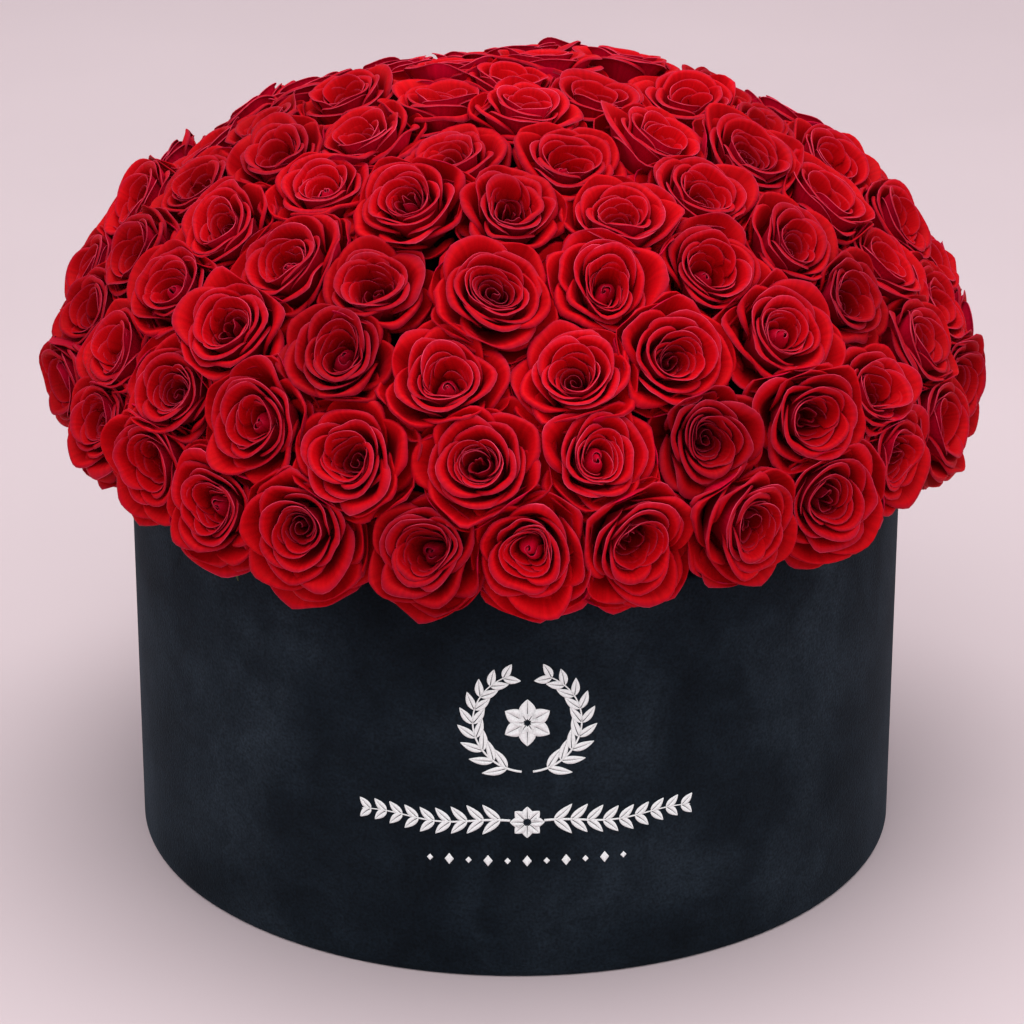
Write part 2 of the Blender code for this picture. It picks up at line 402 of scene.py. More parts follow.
class Sheets:
    """Collects closed sheets and tubes, and turns them into one mesh."""

    def __init__(self):
        self.points = []
        self.quads = []
        self.tones = []
        self.count = 0

    def add(self, points, quads, tones=None):
        self.points.append(points)
        self.quads.append(quads + self.count)
        self.tones.append(np.zeros((len(points), 4)) if tones is None else tones)
        self.count += len(points)

    def build(self, name, material):
        points = np.concatenate(self.points)
        quads = np.concatenate(self.quads)
        mesh = bpy.data.meshes.new(name)
        mesh.vertices.add(len(points))
        mesh.vertices.foreach_set("co", points.astype(np.float32).ravel())
        mesh.loops.add(quads.size)
        mesh.loops.foreach_set("vertex_index", quads.astype(np.int32).ravel())
        mesh.polygons.add(len(quads))
        mesh.polygons.foreach_set("loop_start", np.arange(0, quads.size, 4, dtype=np.int32))
        attribute = mesh.color_attributes.new("petal", "FLOAT_COLOR", "POINT")
        attribute.data.foreach_set("color", np.concatenate(self.tones).astype(np.float32).ravel())
        mesh.update(calc_edges=True)
        mesh.validate()
        mesh.shade_smooth()
        mesh.materials.append(material)
        made = bpy.data.objects.new(name, mesh)
        bpy.context.scene.collection.objects.link(made)
        return made


def grid_quads(rows, columns, wrap=False):
    """Quads of a grid of points, row after row. With wrap, the last column joins the first."""
    across = columns if wrap else columns - 1
    row, column = np.meshgrid(np.arange(rows - 1), np.arange(across), indexing="ij")
    near, far = row * columns, (row + 1) * columns
    after = (column + 1) % columns
    corners = (near + column, near + after, far + after, far + column)
    return np.stack([c.ravel() for c in corners], axis=1)


def closed_sheet(middle, thickness):
    """A grid of points as a closed sheet: its front, its back and the strip between them."""
    rows, columns = middle.shape[:2]
    down = np.gradient(middle, axis=0)
    across = np.gradient(middle, axis=1)
    normal = np.cross(across, down)
    normal /= np.maximum(np.linalg.norm(normal, axis=2, keepdims=True), 1e-12)
    half = thickness / 2
    front = (middle + normal * half).reshape(-1, 3)
    back = (middle - normal * half).reshape(-1, 3)
    size = rows * columns
    quads = grid_quads(rows, columns)
    index = np.arange(size).reshape(rows, columns)
    border = np.concatenate([index[0, :-1], index[:-1, -1], index[-1, :0:-1], index[:0:-1, 0]])
    after = np.roll(border, -1)
    strip = np.stack([border, after, after + size, border + size], axis=1)
    return np.concatenate([front, back]), np.concatenate([quads[:, ::-1], quads + size, strip])


def tube(path, radii, sides):
    """A closed round tube along a path. Each end draws in to a small ring that quads fill."""
    path = np.asarray(path, float)
    along = np.gradient(path, axis=0)
    along /= np.linalg.norm(along, axis=1, keepdims=True)
    across = np.cross(along, (0.37, 0.61, 0.1))
    across /= np.linalg.norm(across, axis=1, keepdims=True)
    third = np.cross(along, across)
    turn = math.tau * np.arange(sides) / sides
    ring = across[:, None] * np.cos(turn)[None, :, None] + third[:, None] * np.sin(turn)[None, :, None]
    scale = np.asarray(radii, float)[:, None, None]
    small = 0.02
    body = path[:, None] + ring * scale
    first = path[:1, None] + ring[:1] * scale[:1] * small
    last = path[-1:, None] + ring[-1:] * scale[-1:] * small
    points = np.concatenate([first, body, last])
    quads = grid_quads(len(points), sides, wrap=True)
    caps = []
    for start in (0, (len(points) - 1) * sides):
        cap = [(start, start + i, start + i + 1, start + i + 2) for i in range(1, sides - 2, 2)]
        caps.extend(cap if start else [c[::-1] for c in cap])
    return points.reshape(-1, 3), np.concatenate([quads, np.array(caps)])


# One rose. Its own axis is Z, with 0 at the widest part of the bloom, as in the frame.

CUP_ROWS = 8
LIP_ROWS = 6
PETAL_THICKNESS = 0.00034
YOUNG_SHARE = 0.16  # of the roses, which are smaller, less open and deeper red
BASE_HEIGHT = -0.030
WIDEST = 0.0345
OVERLAP = 0.0033  # how far a pressed petal reaches past the line halfway to its neighbour
DIRECTIONS = 73  # in which the room around a bloom is measured
NEIGHBOUR_REACH = 0.080
PRESS_START = 0.80  # share of the room at which a petal starts to give way
PRESS_LIFT = 0.45  # how much a pressed petal rises for each length that it gives way
GOLDEN_ANGLE = 137.5
SEPALS = 5
HEART_PETALS = 4
CUP_PETALS = 12  # thin cups around the heart
MIDDLE_PETALS = 8
OUTER_PETALS = 6
GUARD_PETALS = 5
SKIRT_PETALS = 3  # hang over the box under each rose of the rim row
HEART_SHADE = {"spiral": 0.10, "bud": 0.85, "open": 0.28}  # painted shade: how bright the innermost petals are coloured, darker deep in the heart


def smooth(value, low, high):
    step = np.clip((value - low) / (high - low), 0, 1)
    return step * step * (3 - 2 * step)


def petal_middle(p):
    """The middle surface of one petal: a cup that leans out towards its rim, then a curled lip."""
    u = np.linspace(-1, 1, p["columns"])
    side = np.abs(u)
    from_tip = np.sqrt((u - p["tip_at"]) ** 2 + 0.012)
    point = p["tip"] * (np.exp(-(from_tip - 0.11) / 0.42) - 0.3)
    fold = p["fold"] * np.exp(-(((u - p["fold_at"]) / 0.22) ** 2))
    rim_radius = p["rim"] * (1 + point - p["flat"] * side**2.5) + fold
    fall = p["fall"] * (0.25 * side**1.6 + 0.75 * side**5)
    rim_height = p["height"] - fall + p["wave"] * np.sin(2.6 * u + p["phase"])
    tall = rim_height - BASE_HEIGHT
    radii = (p["root"] + 0 * u, p["belly"] + 0 * u, rim_radius - p["lean"], rim_radius)
    heights = (BASE_HEIGHT + 0 * u, BASE_HEIGHT + 0.4 * tall, rim_height - p["rise"], rim_height)
    t = (np.linspace(0, 1, CUP_ROWS) ** 0.75)[:, None]
    weights = ((1 - t) ** 3, 3 * t * (1 - t) ** 2, 3 * t**2 * (1 - t), t**3)
    radius = sum(w * r for w, r in zip(weights, radii))
    height = sum(w * h for w, h in zip(weights, heights))
    length = np.hypot(p["lean"], p["rise"])
    out, up = p["lean"] / length, p["rise"] / length
    angle = p["roll"] * (1 + p["side_roll"] * side**2 + p["twist"] * u)
    curl = p["lip"] * (1 + 0.6 * point - 0.8 * side**3) / angle
    turn = np.linspace(0, 1, LIP_ROWS + 1)[1:, None] * angle
    lip_radius = rim_radius + curl * (np.sin(turn) * out + (1 - np.cos(turn)) * up)
    lip_height = rim_height + curl * (np.sin(turn) * up - (1 - np.cos(turn)) * out)
    radius = np.concatenate([radius, lip_radius])
    height = np.concatenate([height, lip_height])
    rows = np.linspace(0, 1, len(radius))[:, None]
    late = smooth(rows, 0.35, 1.0)
    radius = radius + p["spiral"] * u * smooth(rows, 0.1, 0.5)
    radius = radius + p["ripple"] * late * np.sin(p["waves"] * u + p["phase"] * 2)
    height = height + p["ripple"] * late * np.sin(p["waves"] * 1.3 * u + p["phase"] * 3)
    spread = 0.45 + 0.55 * np.sin(np.pi / 2 * np.minimum(rows * 1.5, 1))
    azimuth = p["turn"] + p["half_width"] * u * spread
    return np.maximum(radius, 0.0005), azimuth, height, rows * np.ones_like(u), u * np.ones_like(rows)


def rose_petals(draw, way, kind):
    """The petals of one bloom, from its centre outward, each about 137 degrees on from the last."""
    turn = draw.uniform(0, math.tau)
    groups = (
        (HEART_PETALS, heart_petal),
        (CUP_PETALS, cup_petal),
        (MIDDLE_PETALS, middle_petal),
        (OUTER_PETALS, outer_petal),
        (GUARD_PETALS, guard_petal),
    )
    whole = sum(count for count, _ in groups)
    number = 0
    for count, petal in groups:
        for i in range(count):
            turn += way * math.radians(GOLDEN_ANGLE + draw.uniform(-18, 18))
            p = {"turn": turn, "share": number / (whole - 1)}
            p["spiral"] = way * draw.uniform(0.0003, 0.0015)
            p.update(petal(i / (count - 1), draw, kind))
            p["phase"] = draw.uniform(0, math.tau)
            p["waves"] = draw.uniform(3.0, 6.0)
            p["tip_at"] = draw.uniform(-0.35, 0.35)
            p["reach"] = 1 + draw.uniform(-0.08, 0.12) * p["share"] ** 2
            p["fold"] = draw.uniform(-0.10, 0.10) * p["rim"] * min(1, number / 9)
            p["fold_at"] = draw.uniform(-0.7, 0.7)
            p["corners"] = (draw.choice((5, 6)), draw.uniform(0, math.tau))
            number += 1
            yield p
    for i in range(SKIRT_PETALS if kind["rim_row"] else 0):
        turn = math.radians(-90 + 52 * (i - 1) + draw.uniform(-14, 14))
        p = {"turn": turn, "share": 1.0, "spiral": 0.0}
        p.update(skirt_petal(i, draw, kind))
        yield p


def heart_petal(along, draw, kind):
    """A spiral heart is rolled up tightly, a bud closes over its middle, an open heart is crumpled."""
    shape = {
        "columns": 15,
        "half_width": math.radians(150 - 45 * along) * draw.uniform(0.85, 1.1),
        "root": 0.0012,
        "belly": 0.0030 + 0.0030 * along,
        "rim": 0.0014 + 0.0034 * along,
        "height": kind["centre"] + draw.uniform(-0.0006, 0.0022),
        "lean": 0.0002,
        "rise": 0.0040,
        "lip": 0.0006,
        "roll": math.radians(20),
        "fall": draw.uniform(0.0050, 0.0080),
        "wave": draw.uniform(0.0002, 0.0010),
        "flat": 0.05,
        "side_roll": 0.1,
        "twist": 0.0,
        "tip": 0.10,
        "ripple": 0.0002,
    }
    if kind["heart"] == "bud":
        shape["half_width"] *= 0.9
        shape["belly"] = 0.0062 + 0.0012 * along
        shape["rim"] = 0.0003 + 0.0030 * along
        shape["height"] = kind["centre"] + 0.0030 - 0.0022 * along
        shape["lean"] = -0.0034
        shape["rise"] = 0.0024
        shape["fall"] = draw.uniform(0.0020, 0.0045)
    elif kind["heart"] == "open":
        shape["half_width"] = math.radians(draw.uniform(58, 95))
        shape["rim"] = 0.0022 + 0.0040 * along
        shape["height"] = kind["centre"] + draw.uniform(0.0005, 0.0065)
        shape["lean"] = -0.0012
        shape["lip"] = draw.uniform(0.0008, 0.0020)
        shape["roll"] = math.radians(draw.uniform(30, 90))
        shape["tip"] = draw.uniform(0.1, 0.4)
        shape["ripple"] = 0.0005
    return shape


def cup_petal(along, draw, kind):
    first = 0.0058 if kind["heart"] == "spiral" else 0.0078
    rim = first + (0.0122 - first) * along + draw.uniform(-0.0005, 0.0005)
    return {
        "columns": 15,
        "half_width": math.radians(108 - 28 * along) * draw.uniform(0.85, 1.1),
        "root": 0.0025 + 0.001 * along,
        "belly": rim * 0.95,
        "rim": rim,
        "height": (
            kind["centre"] * (1 - along) ** 1.3 + kind["mouth"] * along + draw.uniform(-0.0009, 0.0009)
        ),
        "lean": 0.0006 + 0.0012 * along,
        "rise": 0.0050,
        "lip": draw.uniform(0.0009, 0.0018),
        "roll": math.radians(draw.uniform(25, 60)),
        "fall": draw.uniform(0.0032, 0.0066),
        "wave": draw.uniform(0.0002, 0.0010),
        "flat": draw.uniform(0.04, 0.20),
        "side_roll": 0.2,
        "twist": draw.uniform(-0.2, 0.2),
        "tip": draw.uniform(0.0, 0.10),
        "ripple": 0.0002,
    }


def middle_petal(along, draw, kind):
    rim = (0.0135 + 0.0065 * along) * kind["size"] + draw.uniform(-0.0007, 0.0007)
    return {
        "columns": 17,
        "half_width": math.radians(80 - 14 * along) * draw.uniform(0.85, 1.1),
        "root": 0.0040,
        "belly": rim * (0.92 - 0.06 * along),
        "rim": rim,
        "height": kind["mouth"] + 0.0006 - 0.0022 * along * kind["open"] + draw.uniform(-0.0010, 0.0010),
        "lean": 0.0020 + 0.0022 * along * kind["open"],
        "rise": 0.0050,
        "lip": draw.uniform(0.0018, 0.0034),
        "roll": math.radians(draw.uniform(45, 105)),
        "fall": draw.uniform(0.0055, 0.0100),
        "wave": draw.uniform(0.0003, 0.0012),
        "flat": draw.uniform(0.08, 0.22),
        "side_roll": draw.uniform(0.1, 0.6),
        "twist": draw.uniform(-0.3, 0.3),
        "tip": draw.uniform(0.02, 0.12),
        "ripple": draw.uniform(0.0002, 0.0005),
    }


def outer_petal(along, draw, kind):
    rim = (0.0222 + 0.0048 * along) * kind["size"] + draw.uniform(-0.0010, 0.0010)
    return {
        "columns": 21,
        "half_width": math.radians(62) * draw.uniform(0.85, 1.15),
        "root": 0.0050,
        "belly": rim * 0.80,
        "rim": rim,
        "height": kind["mouth"] - 0.0012 - 0.0048 * along * kind["open"] + draw.uniform(-0.0013, 0.0013),
        "lean": 0.0050 + 0.0020 * along * kind["open"],
        "rise": 0.0046,
        "lip": draw.uniform(0.0026, 0.0052),
        "roll": math.radians(draw.uniform(60, 135)),
        "fall": draw.uniform(0.0090, 0.0140),
        "wave": draw.uniform(0.0004, 0.0016),
        "flat": draw.uniform(0.14, 0.36),
        "side_roll": draw.uniform(0.4, 1.3),
        "twist": draw.uniform(-0.4, 0.4),
        "tip": draw.uniform(0.10, 0.32),
        "ripple": draw.uniform(0.0003, 0.0008),
    }


def guard_petal(along, draw, kind):
    rim = (0.0280 + 0.0030 * along) * kind["size"] + draw.uniform(-0.0012, 0.0012)
    return {
        "columns": 21,
        "half_width": math.radians(64) * draw.uniform(0.85, 1.15),
        "root": 0.0055,
        "belly": rim * 0.70,
        "rim": rim,
        "height": -0.0085 - 0.0035 * along + draw.uniform(-0.0016, 0.0016),
        "lean": 0.0085,
        "rise": 0.0030,
        "lip": draw.uniform(0.0026, 0.0056),
        "roll": math.radians(draw.uniform(55, 130)),
        "fall": draw.uniform(0.0060, 0.0100),
        "wave": draw.uniform(0.0005, 0.0020),
        "flat": draw.uniform(0.16, 0.42),
        "side_roll": draw.uniform(0.4, 1.3),
        "twist": draw.uniform(-0.4, 0.4),
        "tip": draw.uniform(0.14, 0.40),
        "ripple": draw.uniform(0.0004, 0.0010),
    }


def skirt_petal(number, draw, kind):
    rim = (0.0325 if number == 1 else 0.0310) * kind["size"] + draw.uniform(-0.0010, 0.0012)
    return {
        "columns": 21,
        "half_width": math.radians(54) * draw.uniform(0.85, 1.15),
        "root": 0.0055,
        "belly": rim * 0.72,
        "rim": rim,
        "height": draw.uniform(-0.0190, -0.0130),
        "lean": 0.0095,
        "rise": 0.0012,
        "lip": draw.uniform(0.0022, 0.0044),
        "roll": math.radians(draw.uniform(30, 90)),
        "fall": draw.uniform(0.0020, 0.0060),
        "wave": draw.uniform(0.0008, 0.0024),
        "flat": draw.uniform(0.06, 0.20),
        "side_roll": draw.uniform(0.2, 0.9),
        "twist": draw.uniform(-0.4, 0.4),
        "tip": draw.uniform(0.0, 0.16),
        "ripple": draw.uniform(0.0005, 0.0011),
        "phase": draw.uniform(0, math.tau),
        "waves": draw.uniform(3.0, 6.0),
        "tip_at": draw.uniform(-0.35, 0.35),
        "reach": draw.uniform(1.08, 1.20),
        "fold": draw.uniform(-0.0030, 0.0030),
        "fold_at": draw.uniform(-0.7, 0.7),
        "corners": (draw.choice((5, 6, 7)), draw.uniform(0, math.tau)),
    }


def bloom_kind(draw, ring):
    """How this rose differs from the others."""
    young = draw.random() < YOUNG_SHARE
    return {
        "rim_row": ring == len(RINGS),
        "size": draw.uniform(0.87, 0.95) if young else draw.uniform(0.95, 1.14),
        "open": draw.uniform(0.5, 0.8) if young else draw.uniform(0.8, 1.25),
        "heart": draw.choice(("spiral", "spiral", "bud", "open")),
        "centre": draw.uniform(-0.0145, -0.0055),
        "mouth": draw.uniform(0.0010, 0.0034),
        "oval": draw.uniform(0.0, 0.32),
        "oval_turn": draw.uniform(0, math.tau),
        "swirl": draw.uniform(-1.6, 1.6),
        "corner": draw.uniform(0.0, 0.14),
        "off": (draw.uniform(-0.0022, 0.0022), draw.uniform(-0.0022, 0.0022)),
        "tone_and_shade": draw.uniform(0.3, 0.55) if young else draw.uniform(0.55, 1.0),
        "shift": (draw.uniform(-1, 1), draw.uniform(-1, 1), draw.uniform(-1, 1)),
        "tilt": (draw.uniform(-1, 1), draw.uniform(-1, 1)),
    }


MOST_SHIFT = Vector((0.0046, 0.0038, 0.0026))
MOST_TILT = 0.20
FACING = 0.30  # how far the blooms at the sides look round to the front
FACING_PIVOT = Vector((0, 0, -0.030))
FACING_SINK = 0.0030
FACING_END = 0.14  # how far behind the middle of the box the last of these blooms is
SIDE_RISE = 0.0065  # how much higher the rim row's blooms sit at the sides
SIDE_SHADE = 0.52  # painted shade: how much darker the blooms at the sides are coloured
FRONT_FALL = 0.0030  # how much lower the rim row's blooms hang
LEAST_STAND, CROWN_STAND = 0.0020, 0.0030  # how far the blooms stand out
ANGULAR = 0.75  # how far the outer petals' outlines go from round to straight sides and corners
MEAN_ANGULAR = 0.90


def settled(place):
    """How far a bloom sits off its solid: along the ring, up the dome, and outward."""
    share = place[0] / len(RINGS)
    rise = SIDE_RISE * share**4 * sideways(place) - FRONT_FALL * share**6
    return Vector((0, rise, LEAST_STAND + CROWN_STAND * (1 - share)))


def sideways(place):
    """1 for a bloom that looks straight out to the side, and 0 at the front, on top and at the back."""
    centre, axis = place[2], place[3]
    return abs(axis.x) * min(1, max(0, 1 - centre.y / FACING_END))


def faced(place):
    """The turn about its hip with which a bloom at the side of the box looks round to the front."""
    axis, share = place[3], sideways(place)
    into = place_matrix(place).to_3x3().transposed()
    towards = into @ (axis + Vector((0, -1, 0)) * FACING * share).normalized()
    turn = Vector((0, 0, 1)).rotation_difference(towards).to_matrix().to_4x4()
    sunk = Matrix.Translation((0, 0, -FACING_SINK * share))
    return sunk @ Matrix.Translation(FACING_PIVOT) @ turn @ Matrix.Translation(-FACING_PIVOT)


def bloom_matrix(place, kind):
    """Where the bloom itself sits: near its solid's place, a little off it and tilted."""
    shift = Vector(a * b for a, b in zip(kind["shift"], MOST_SHIFT)) + settled(place)
    nod, lean = (Matrix.Rotation(t * MOST_TILT, 4, axis) for t, axis in zip(kind["tilt"], "XY"))
    return place_matrix(place) @ faced(place) @ Matrix.Translation(shift) @ (nod @ lean)


def crowding(own, others):
    """How far a bloom may spread in each direction around its axis before it presses on a neighbour."""
    matrix, kind = own
    into = matrix.inverted()
    directions = np.linspace(0, math.tau, DIRECTIONS)
    limit = np.full(DIRECTIONS, WIDEST * kind["size"])
    for other_matrix, other_kind in others:
        spot = into @ other_matrix.translation
        if spot.length > NEIGHBOUR_REACH or spot.length < 0.001:
            continue
        flat = math.hypot(spot.x, spot.y)
        towards = math.atan2(spot.y, spot.x)
        share = kind["size"] / (kind["size"] + other_kind["size"])
        cosine = np.cos(directions - towards)
        wall = np.where(cosine > 0.2, (flat * share + OVERLAP) / np.maximum(cosine, 0.2), 1.0)
        limit = np.minimum(limit, wall)
    return directions, limit


def angular(azimuth, corners, first):
    """1 at each corner of a polygon seen from its middle, and less along its straight sides."""
    step = math.tau / corners
    return math.cos(step / 2) / np.cos(np.mod(azimuth - first, step) - step / 2)


def pressed_petal(p, kind, directions, limit):
    """One petal's surface as the heart's shape and the neighbours leave it."""
    radius, azimuth, height, rim, across = petal_middle(p)
    inner = (1 - p["share"]) ** 1.2
    turned = azimuth - kind["oval_turn"] - kind["swirl"] * p["share"]
    uneven = kind["oval"] * np.cos(2 * turned) + kind["corner"] * np.cos(3 * turned)
    radius = radius * (1 + inner * uneven)
    wall = np.interp(np.mod(azimuth, math.tau), directions, limit) * p["reach"]
    start = wall * PRESS_START
    over = np.maximum(radius - start, 0)
    room = wall - start
    pressed = start + room * (1 - np.exp(-over / room))
    height = height + PRESS_LIFT * (over - (pressed - start)) * (over > 0)
    radius = np.where(over > 0, pressed, radius)
    straight = angular(azimuth, *p["corners"]) - MEAN_ANGULAR
    radius = radius * (1 + ANGULAR * p["share"] ** 2 * rim**2 * straight)
    return radius, azimuth, height, rim, across, inner


def add_bloom(sheets, own, others, draw):
    matrix, kind = own
    directions, limit = crowding(own, others)
    matrix = np.array(matrix)
    heart_shade = HEART_SHADE[kind["heart"]]
    way = draw.choice((-1, 1))
    for p in rose_petals(draw, way, kind):
        radius, azimuth, height, rim, across, inner = pressed_petal(p, kind, directions, limit)
        x = radius * np.cos(azimuth) + inner * kind["off"][0]
        y = radius * np.sin(azimuth) + inner * kind["off"][1]
        points, quads = closed_sheet(np.stack([x, y, height], axis=2), PETAL_THICKNESS)
        points = points @ matrix[:3, :3].T + matrix[:3, 3]
        half = rim.size
        tones = np.zeros((2 * half, 4))
        tones[:, 0] = np.tile(rim.ravel(), 2)
        tones[:, 1] = np.tile(across.ravel(), 2) * 0.5 + 0.5
        # Painted shade: the innermost petals are coloured darker, deep in the heart.
        depth_shade = heart_shade + (1 - heart_shade) * smooth(p["share"], 0.02, 0.48)
        tones[:, 2] = kind["tone_and_shade"] * draw.uniform(0.8, 1.0) * depth_shade
        tones[:half, 3] = 1
        sheets.add(points, quads, tones)


def leaflet(matrix, turn, length, droop, width):
    """One sepal: a narrow pointed sheet that leaves the top of the stem and bends back down."""
    rows, columns = 9, 5
    v = np.linspace(0, 1, rows)[:, None]
    u = np.linspace(-1, 1, columns)[None, :]
    half = width * (1 - v) ** 0.6 * (0.55 + 1.2 * v * (1 - v)) + 0.0001
    bend = droop * v
    out = 0.0050 + length * (np.sin(bend) + 0.25 * v) / max(droop, 0.3)
    up = -0.0365 + length * (0.75 * v - 0.75 * v * v * droop)
    side = u * half
    radial = out + 0.0006 * u**2
    x = radial * math.cos(turn) - side * math.sin(turn)
    y = radial * math.sin(turn) + side * math.cos(turn)
    middle = np.stack([x, y, up + 0 * u], axis=2)
    points, quads = closed_sheet(middle, 0.0005)
    return points @ matrix[:3, :3].T + matrix[:3, 3], quads


def add_stem(greens, place, own, draw):
    """The stem up from its hole in the foam, the hip under the bloom and five sepals."""
    matrix = np.array(own[0])
    bottom = np.array(place_matrix(place) @ Vector((0, 0, STEM_END)))
    top = np.array(own[0] @ Vector((0, 0, -0.040)))
    axis = np.array(place[3])
    straight = bottom + axis * 0.045
    lower = bottom + (straight - bottom) * np.array([[0.0], [0.5]])
    upper = straight + (top - straight) * np.linspace(0, 1, 7)[:, None]
    path = np.concatenate([lower, upper])
    points, quads = tube(path, np.linspace(0.0029, 0.0027, len(path)), 10)
    greens.add(points, quads)
    hip_heights = np.array([-0.0405, -0.038, -0.034, -0.0305, -0.0285])
    hip = np.stack([0 * hip_heights, 0 * hip_heights, hip_heights], axis=1)
    points, quads = tube(hip, np.array([0.0030, 0.0052, 0.0066, 0.0060, 0.0045]), 12)
    greens.add(points @ matrix[:3, :3].T + matrix[:3, 3], quads)
    first = draw.uniform(0, math.tau)
    for i in range(SEPALS):
        turn = first + math.tau * i / SEPALS + draw.uniform(-0.2, 0.2)
        length = draw.uniform(0.018, 0.025) + (0.006 if place[0] == len(RINGS) else 0)
        droop = draw.uniform(0.7, 1.5)
        width = draw.uniform(0.0022, 0.0032)
        greens.add(*leaflet(matrix, turn, length, droop, width))


# Where the roses stand


def dome_arc():
    """Points of the dome's outline from the crown to the rim row: (distance along it, angle)."""
    last = math.asin((RIM_ROW_HEIGHT - DOME_EQUATOR) / DOME_RISE)
    arc = [(0.0, math.pi / 2)]
    for i in range(1, ARC_STEPS + 1):
        angle = math.pi / 2 + (last - math.pi / 2) * i / ARC_STEPS
        middle = (angle + arc[-1][1]) / 2
        turn = arc[-1][1] - angle
        step = math.hypot(DOME_RADIUS * math.sin(middle), DOME_RISE * math.cos(middle)) * turn
        arc.append((arc[-1][0] + step, angle))
    return arc


def angle_at(arc, distance):
    for (near, start), (far, end) in zip(arc, arc[1:]):
        if distance <= far:
            return start + (end - start) * (distance - near) / (far - near)
    return arc[-1][1]


def rose_places():
    """Every rose as (ring, number in its ring, centre, axis, direction along the ring)."""
    arc = dome_arc()
    draw = random.Random(PLACE_SEED)
    rings = ((1, 0.0), *RINGS)
    places = []
    for ring, (count, first) in enumerate(rings):
        share = ring / len(RINGS)
        angle = angle_at(arc, arc[-1][0] * share)
        for number in range(count):
            shift = [draw.uniform(-SHIFT, SHIFT) for _ in range(3)]
            lean = [draw.uniform(-LEAN, LEAN) for _ in range(2)]
            bearing = math.radians(first) + math.tau * number / count
            outward = Vector((math.sin(bearing), -math.cos(bearing), 0))
            along = Vector((math.cos(bearing), math.sin(bearing), 0))
            normal = outward * (math.cos(angle) / DOME_RADIUS)
            normal.z = math.sin(angle) / DOME_RISE
            normal.normalize()
            downhill = along.cross(normal)
            centre = outward * (DOME_RADIUS * math.cos(angle))
            centre.z = DOME_EQUATOR + DOME_RISE * math.sin(angle)
            centre.z += RIM_LIFT * share**2 * math.sin(bearing) ** 2
            centre += along * shift[0] + downhill * shift[1] + normal * shift[2]
            axis = (normal + along * lean[0] + downhill * lean[1]).normalized()
            along = (along - axis * along.dot(axis)).normalized()
            places.append((ring, number, centre, axis, along))
    return places


def place_matrix(place):
    centre, axis, along = place[2:]
    turned_axes = Matrix((along, axis.cross(along), axis)).transposed().to_4x4()
    return Matrix.Translation(centre) @ turned_axes


def bunch_of(place):
    """Name of the CAD node that a rose belongs to."""
    ring, number = place[:2]
    if ring == 0:
        return "rose_crown"
    if ring <= SINGLE_RINGS:
        return f"rose_ring{ring}_{number + 1}"
    return f"roses_ring{ring}_{number // BUNCH + 1}"


def body_of(node):
    return node if node in frame["bodies"] else "insert"


def build_roses():
    places = rose_places()
    draws = [random.Random(ROSE_SEED + number) for number in range(len(places))]
    kinds = [bloom_kind(draw, place[0]) for draw, place in zip(draws, places)]
    for place, kind in zip(places, kinds):
        # Painted shade: the blooms at the sides are coloured darker.
        kind["tone_and_shade"] *= 1 - SIDE_SHADE * sideways(place)
    blooms_at = [(bloom_matrix(place, kind), kind) for place, kind in zip(places, kinds)]
    petals, greens = petal_material(), green_material()
    nodes = {}
    for number, place in enumerate(places):
        nodes.setdefault(bunch_of(place), []).append(number)
    for node, members in nodes.items():
        blooms, stems = Sheets(), Sheets()
        for number in members:
            add_bloom(blooms, blooms_at[number], blooms_at, draws[number])
            add_stem(stems, places[number], blooms_at[number], draws[number])
        bloom = blooms.build(f"{node}_blooms", petals)
        stem = stems.build(f"{node}_stems", greens)
        for piece in (bloom, stem):
            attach(piece, body_of(node))
        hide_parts(node)


# The box

RIM_WIDTH = 0.0060
FOLD_DEPTH = 0.025  # how far the velvet reaches down the inside


def turned_piece(name, profile, material, steps=256):
    """A closed profile of (radius, height) points, turned about Z."""
    turn = math.tau * np.arange(steps) / steps
    profile = np.asarray(profile, float)
    ring = np.stack([np.cos(turn), np.sin(turn)], axis=1)
    points = np.zeros((steps, len(profile), 3))
    points[:, :, :2] = ring[:, None] * profile[None, :, :1]
    points[:, :, 2] = profile[:, 1]
    index = np.arange(steps * len(profile)).reshape(steps, len(profile))
    index = np.concatenate([index, index[:, :1]], axis=1)
    after = np.roll(index, -1, axis=0)
    quads = np.stack([index[:, :-1], after[:, :-1], after[:, 1:], index[:, 1:]], axis=2).reshape(-1, 4)
    sheets = Sheets()
    sheets.add(points.reshape(-1, 3), quads)
    return sheets.build(name, material)


def velvet_profile():
    """Outside of the wrap from the floor up, over the rounded rim, and down the inside to its hem."""
    thick, rounding, steps = 0.0012, 0.0028, 12
    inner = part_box("velvet_wrap")[1].x - RIM_WIDTH
    below_rim, hem = BOX_HEIGHT - 0.004, BOX_HEIGHT - FOLD_DEPTH
    profile = [(BOX_RADIUS - thick, WRAP_BOTTOM)]
    profile += [(BOX_RADIUS - 0.0004, WRAP_BOTTOM), (BOX_RADIUS, WRAP_BOTTOM + 0.0005)]
    profile += [(BOX_RADIUS, z) for z in np.linspace(0.004, below_rim, 40)]
    middle, half = (BOX_RADIUS + inner) / 2, (BOX_RADIUS - inner) / 2
    for i in range(1, steps):
        turn = math.pi * i / steps
        height = BOX_HEIGHT - rounding + rounding * math.sin(turn)
        profile.append((middle + half * math.cos(turn), height))
    profile += [(inner, z) for z in (below_rim, BOX_HEIGHT - 0.014, hem)]
    profile += [(inner + thick, hem), (inner + thick, below_rim)]
    profile += [(BOX_RADIUS - thick, below_rim)]
    return profile


# The ornament printed on the front. Its places are (distance along the wall, height) in metres.

PRINT_MIDDLE = 0.0055
PRINT_THICKNESS = 0.0003
WREATH_HEIGHT = 0.1405
GARLAND_HEIGHT = 0.0865
DIAMOND_HEIGHT = 0.0652
LEAF_PAIRS = 9
LEAF_WIDTH = 0.0038


